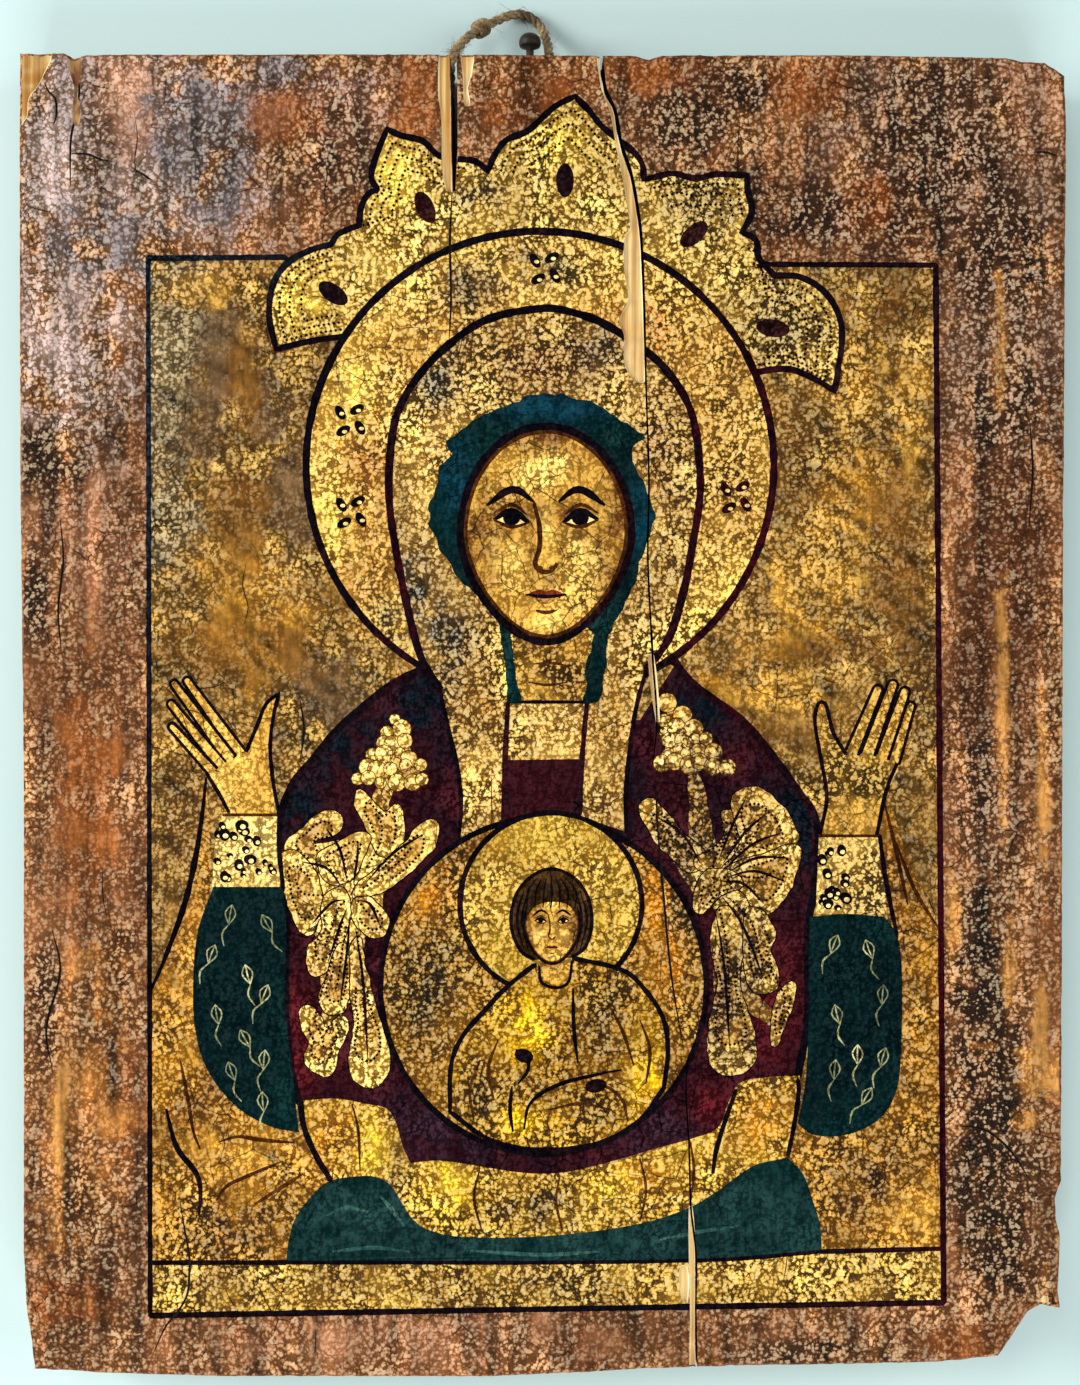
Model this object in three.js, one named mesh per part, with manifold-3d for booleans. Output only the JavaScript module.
// Painted icon panel: a worn wooden board with two splits, a nail and a twine hanging loop.
// The board lies on its back: +X runs to the picture's right, +Y to its top, +Z out of the paint.
// The origin is the centre of the back face. All sizes are in millimetres.

import * as THREE from 'three';
import { mergeVertices } from 'three/addons/utils/BufferGeometryUtils.js';
import Module from 'manifold-3d';

const wasm = await Module();
wasm.setup();

// Driving sizes
const BOARD_WIDTH = 314.8;
const BOARD_HEIGHT = 398;
const BOARD_THICKNESS = 26;
const ARRIS = 0.8;            // how far the handled edges are rounded off
const PAINT_LOSS_DEPTH = 0.9; // gesso and paint missing over bare wood
const FIT_GAP = 0.3;          // clearance between pieces that touch
const CORD_DIAMETER = 3;
const NAIL_SHANK_DIAMETER = 2.4;
const NAIL_HEAD_DIAMETER = 7;
const NAIL_HEAD_HEIGHT = 4.4;
const NAIL_EXPOSED = 6.2;     // bare shank between the board's edge and the head
const NAIL_BURIED = 15;
const CORD_BURIED = 9;        // how far each end of the loop goes into the board

// Places that follow from them
const LEFT = -BOARD_WIDTH / 2;
const RIGHT = BOARD_WIDTH / 2;
const BOTTOM = -BOARD_HEIGHT / 2;
const TOP = BOARD_HEIGHT / 2;
const MID_THICKNESS = BOARD_THICKNESS / 2;
const OVERCUT = 2;            // how far a cutter runs past the face it opens
const NAIL_X = -3.9;
const NAIL_EDGE_Y = TOP - 0.5;
const CORD_LEFT_X = -28.3;
const CORD_RIGHT_X = 2.1;

// Wear of the four edges: place along the edge, and how far the edge has worn back there
const TOP_WEAR = [
  [LEFT, 0], [-144, 0.2], [-141, 1.6], [-137, 0.6], [-60, 0.5], [28, 0.9], [32, 2],
  [36, 0.8], [95, 0.8], [139, 1.6], [144, 2.7], [151, 2.9],
];
const RIGHT_WEAR = [
  [192, 0.4], [175, 0], [124, 0.4], [46, 0.9], [-86, 1.3], [-140, 1.6], [-146, 3.2],
  [-152, 2.8], [-157, 1.8], [-168, 1.9], [-178.4, 1.9],
];
const BOTTOM_WEAR = [
  [122, 4.5], [98, 3.8], [62, 3.3], [26, 2.1], [14, 1.2], [-15, 0], [-95, 0],
  [-130, 1], [-142, 1.6], [-153, 2.1],
];
const LEFT_WEAR = [[-189, 3.8], [-179, 2.2], [-161, 1.3], [-20, 1.3], [70, 0.3], [175, 0]];
const BROKEN_CORNER = [[150, -177.6], [146.5, -180], [143.5, -185.5], [137, -193]];

// Splits in the wood: x, y and width along each one
const LEFT_SPLIT = [[-26.9, TOP + OVERCUT, 2], [-26.5, 182, 1.9], [-26.5, 169.4, 1.8], [-26.6, 157, 0.5]];
const RIGHT_SPLIT_ABOVE = [
  [17.2, TOP + OVERCUT, 1.2], [18.7, 188.3, 1.2], [21.7, 181.4, 1.4], [23.5, 171.8, 1.4], [26.5, 162.5, 1.4],
  [28.3, 153.2, 1.4], [29.5, 144.2, 1.4], [30.4, 124.4, 1.2], [31, 100.1, 1.1], [31.9, 70.4, 0.8],
  [31.6, 46.4, 0.7], [33.1, 16.4, 0.9], [34.3, -2, 0.8], [33.1, -14.6, 0.4],
];
const RIGHT_SPLIT_BELOW = [
  [43.9, -102.2, 0.4], [43, -111.8, 0.6], [43.9, -128.3, 0.7], [44.5, -147.8, 0.8], [45.1, -161.9, 1],
  [44.8, -179.6, 1], [45.1, BOTTOM - OVERCUT, 1],
];
const SPLIT_DEPTH = 16;
const THROUGH = BOARD_THICKNESS + OVERCUT;

// Outlines of the bare places where gesso and paint are gone
const LOSS_BY_LEFT_SPLIT = [
  [-30.5, TOP + 1], [-31.4, 187.1], [-30.5, 179], [-30.2, 164.3], [-28.7, 157.4],
  [-26.8, 157.4], [-26.8, TOP + 1],
];
const LOSS_BY_RIGHT_SPLIT = [
  [16, TOP + 1], [17.5, 188.3], [20.2, 180.8], [21.7, 172.4], [23.8, 161.9], [25.3, 152.9], [26.2, 146],
  [24.7, 143.9], [24.4, 133.4], [25.6, 124.4], [22.9, 118.4], [24.4, 113.9], [24.4, 106.4], [26.2, 101.9],
  [29.2, 99.5], [30.7, 100.1], [30.1, 124.4], [29.2, 144.2], [28, 153.2], [26.2, 162.5], [23.2, 171.8],
  [21.4, 181.4], [18.5, 188.3], [17.2, TOP + 1],
];
const LOSS_AT_TOP_CORNER = [
  [LEFT - 1, TOP + 1], [-148, TOP + 1], [-150.5, 190], [-154, 184], [-155, 178], [LEFT - 1, 175.5],
];
const LOSS_AT_FOOT = [[44.6, -155], [46.6, -156], [46.4, -170], [46.8, -182], [45.2, -190], [44.4, -182]];

// Chips knocked out of the front edge: x, y and radius
const EDGE_CHIPS = [[RIGHT, -171.2, 4.4], [RIGHT, -149.5, 4], [-141, TOP + 1, 2.6], [RIGHT - 1, 153, 2.2]];
const BREAK_SLOPE = 0.6;      // lean of the broken corner's face, in radians
const BREAK_WEDGE_SIDE = 40;
const BREAK_FRONT_EDGE = [141.2, -181.6]; // middle of the break's front edge

// The twine's route: out of the split, down to the surface the board lies on, and back in beside the nail
const CORD_ROUTE = [
  [CORD_LEFT_X, TOP - CORD_BURIED, 13], [-28.3, 194.5, 13], [-28.2, 199, 13], [-27.4, 202.5, 12.6],
  [-25.4, 206, 11.4], [-22.6, 209.4, 9.6], [-19.6, 212.2, 7.6], [-16.4, 214.6, 5.6], [-13, 216.8, 3.9],
  [-9.6, 218.4, 2.6], [-6.2, 218.9, 1.9], [-3.2, 217.7, 1.7], [-0.9, 215.2, 2.2], [0.6, 212, 3.6],
  [1.5, 208.6, 5.8], [1.9, 205.2, 8.6], [2.05, 202, 11], [2.1, 199, 12.5], [2.1, 194.5, 13],
  [CORD_RIGHT_X, TOP - CORD_BURIED, 13],
];
const CORD_SIDES = 8;
const CORD_STEPS = 30;
const ROUND_SIDES = 20;

// A closed solid from a three.js geometry, and back again
function solidOf(geometry) {
  const bare = geometry.index ? geometry.toNonIndexed() : geometry.clone();
  bare.deleteAttribute('normal');
  bare.deleteAttribute('uv');
  const merged = mergeVertices(bare, 1e-4);
  return new wasm.Manifold(new wasm.Mesh({
    numProp: 3,
    vertProperties: new Float32Array(merged.attributes.position.array),
    triVerts: new Uint32Array(merged.index.array),
  }));
}

function geometryOf(solid) {
  const mesh = solid.getMesh();
  const geometry = new THREE.BufferGeometry();
  geometry.setAttribute('position', new THREE.BufferAttribute(mesh.vertProperties, 3));
  geometry.setIndex(new THREE.BufferAttribute(mesh.triVerts, 1));
  geometry.computeVertexNormals();
  return geometry;
}

// The board's worn outline, clockwise from the top left corner
function boardOutline() {
  const points = [
    ...TOP_WEAR.map(([x, worn]) => [x, TOP - worn]),
    ...RIGHT_WEAR.map(([y, worn]) => [RIGHT - worn, y]),
    ...BROKEN_CORNER,
    ...BOTTOM_WEAR.map(([x, worn]) => [x, BOTTOM + worn]),
    ...LEFT_WEAR.map(([y, worn]) => [LEFT + worn, y]),
  ];
  return new THREE.Shape(points.map(([x, y]) => new THREE.Vector2(x, y)));
}

function boardBlank() {
  const geometry = new THREE.ExtrudeGeometry(boardOutline(), {
    depth: BOARD_THICKNESS - 2 * ARRIS,
    bevelThickness: ARRIS,
    bevelSize: ARRIS,
    bevelOffset: -ARRIS,
    bevelSegments: 2,
  });
  geometry.translate(0, 0, ARRIS);
  return solidOf(geometry);
}

// A straight-walled cutter under the painted face
function frontCutter(points, depth) {
  const shape = new THREE.Shape(points.map(([x, y]) => new THREE.Vector2(x, y)));
  const geometry = new THREE.ExtrudeGeometry(shape, { depth: depth + OVERCUT, bevelEnabled: false });
  geometry.translate(0, 0, BOARD_THICKNESS - depth);
  return solidOf(geometry);
}

function splitCutter(route, depth) {
  const leftSide = route.map(([x, y, width]) => [x - width / 2, y]);
  const rightSide = route.map(([x, y, width]) => [x + width / 2, y]);
  return frontCutter([...leftSide, ...rightSide.reverse()], depth);
}

function chipCutter([x, y, radius]) {
  const geometry = new THREE.IcosahedronGeometry(radius, 1);
  geometry.translate(x, y, BOARD_THICKNESS);
  return solidOf(geometry);
}

// The broken corner leans back from its front edge
function cornerBreakCutter() {
  const [first, last] = [BROKEN_CORNER[0], BROKEN_CORNER[BROKEN_CORNER.length - 1]];
  const along = Math.atan2(last[1] - first[1], last[0] - first[0]);
  const geometry = new THREE.BoxGeometry(BREAK_WEDGE_SIDE, BREAK_WEDGE_SIDE, BREAK_WEDGE_SIDE);
  geometry.translate(0, BREAK_WEDGE_SIDE / 2, 0);
  geometry.rotateX(BREAK_SLOPE);
  geometry.rotateZ(along);
  geometry.translate(BREAK_FRONT_EDGE[0], BREAK_FRONT_EDGE[1], BOARD_THICKNESS);
  return solidOf(geometry);
}

// A round hole down into the top edge, parallel to the painted face
function topEdgeBore(x, diameter, depth) {
  const length = depth + OVERCUT + FIT_GAP;
  const radius = diameter / 2 + FIT_GAP;
  const geometry = new THREE.CylinderGeometry(radius, radius, length, ROUND_SIDES);
  geometry.translate(x, TOP + OVERCUT - length / 2, MID_THICKNESS);
  return solidOf(geometry);
}

function boardGeometry() {
  const cutters = [
    splitCutter(LEFT_SPLIT, THROUGH),
    splitCutter(RIGHT_SPLIT_ABOVE, SPLIT_DEPTH),
    splitCutter(RIGHT_SPLIT_BELOW, SPLIT_DEPTH),
    frontCutter(LOSS_BY_LEFT_SPLIT, PAINT_LOSS_DEPTH),
    frontCutter(LOSS_BY_RIGHT_SPLIT, PAINT_LOSS_DEPTH),
    frontCutter(LOSS_AT_TOP_CORNER, PAINT_LOSS_DEPTH),
    frontCutter(LOSS_AT_FOOT, PAINT_LOSS_DEPTH),
    ...EDGE_CHIPS.map(chipCutter),
    cornerBreakCutter(),
    topEdgeBore(NAIL_X, NAIL_SHANK_DIAMETER, NAIL_BURIED),
    topEdgeBore(CORD_LEFT_X, CORD_DIAMETER, CORD_BURIED),
    topEdgeBore(CORD_RIGHT_X, CORD_DIAMETER, CORD_BURIED),
  ];
  const solid = cutters.reduce((board, cutter) => board.subtract(cutter), boardBlank());
  return geometryOf(solid);
}

// A hand-forged nail: pointed shank and domed head, turned about its own length
function nailGeometry() {
  const shank = NAIL_SHANK_DIAMETER / 2;
  const head = NAIL_HEAD_DIAMETER / 2;
  const rim = NAIL_EXPOSED + 0.25 * NAIL_HEAD_HEIGHT;
  const crown = NAIL_EXPOSED + NAIL_HEAD_HEIGHT;
  const profile = new THREE.Path();
  profile.moveTo(0, -NAIL_BURIED);
  profile.lineTo(shank, -NAIL_BURIED + 3 * shank);
  profile.lineTo(shank, NAIL_EXPOSED);
  profile.lineTo(head, NAIL_EXPOSED + 0.1 * NAIL_HEAD_HEIGHT);
  profile.lineTo(head, rim);
  profile.bezierCurveTo(head, (rim + crown) / 2, head * 0.6, crown, 0, crown);
  return new THREE.LatheGeometry(profile.getPoints(6), ROUND_SIDES);
}

function cordGeometry() {
  const corner = (index) => {
    const angle = (index / CORD_SIDES) * 2 * Math.PI;
    return new THREE.Vector2(Math.cos(angle), Math.sin(angle)).multiplyScalar(CORD_DIAMETER / 2);
  };
  const section = new THREE.Shape(Array.from({ length: CORD_SIDES }, (_, index) => corner(index)));
  const route = new THREE.CatmullRomCurve3(CORD_ROUTE.map((point) => new THREE.Vector3(...point)));
  return new THREE.ExtrudeGeometry(section, { steps: CORD_STEPS, extrudePath: route });
}

function namedMesh(name, geometry, material) {
  const mesh = new THREE.Mesh(geometry, new THREE.MeshStandardMaterial(material));
  mesh.name = name;
  return mesh;
}

const board = namedMesh('panel_board', boardGeometry(), { color: 0x8a6a34, roughness: 0.55, metalness: 0 });

const nail = namedMesh('edge_nail', nailGeometry(), { color: 0x2e2826, roughness: 0.6, metalness: 0.8 });
nail.position.set(NAIL_X, NAIL_EDGE_Y, MID_THICKNESS);

const cord = namedMesh('hanging_loop', cordGeometry(), { color: 0xa2855c, roughness: 0.95, metalness: 0 });

const iconPanel = new THREE.Group();
iconPanel.add(board, nail, cord);

export default iconPanel;
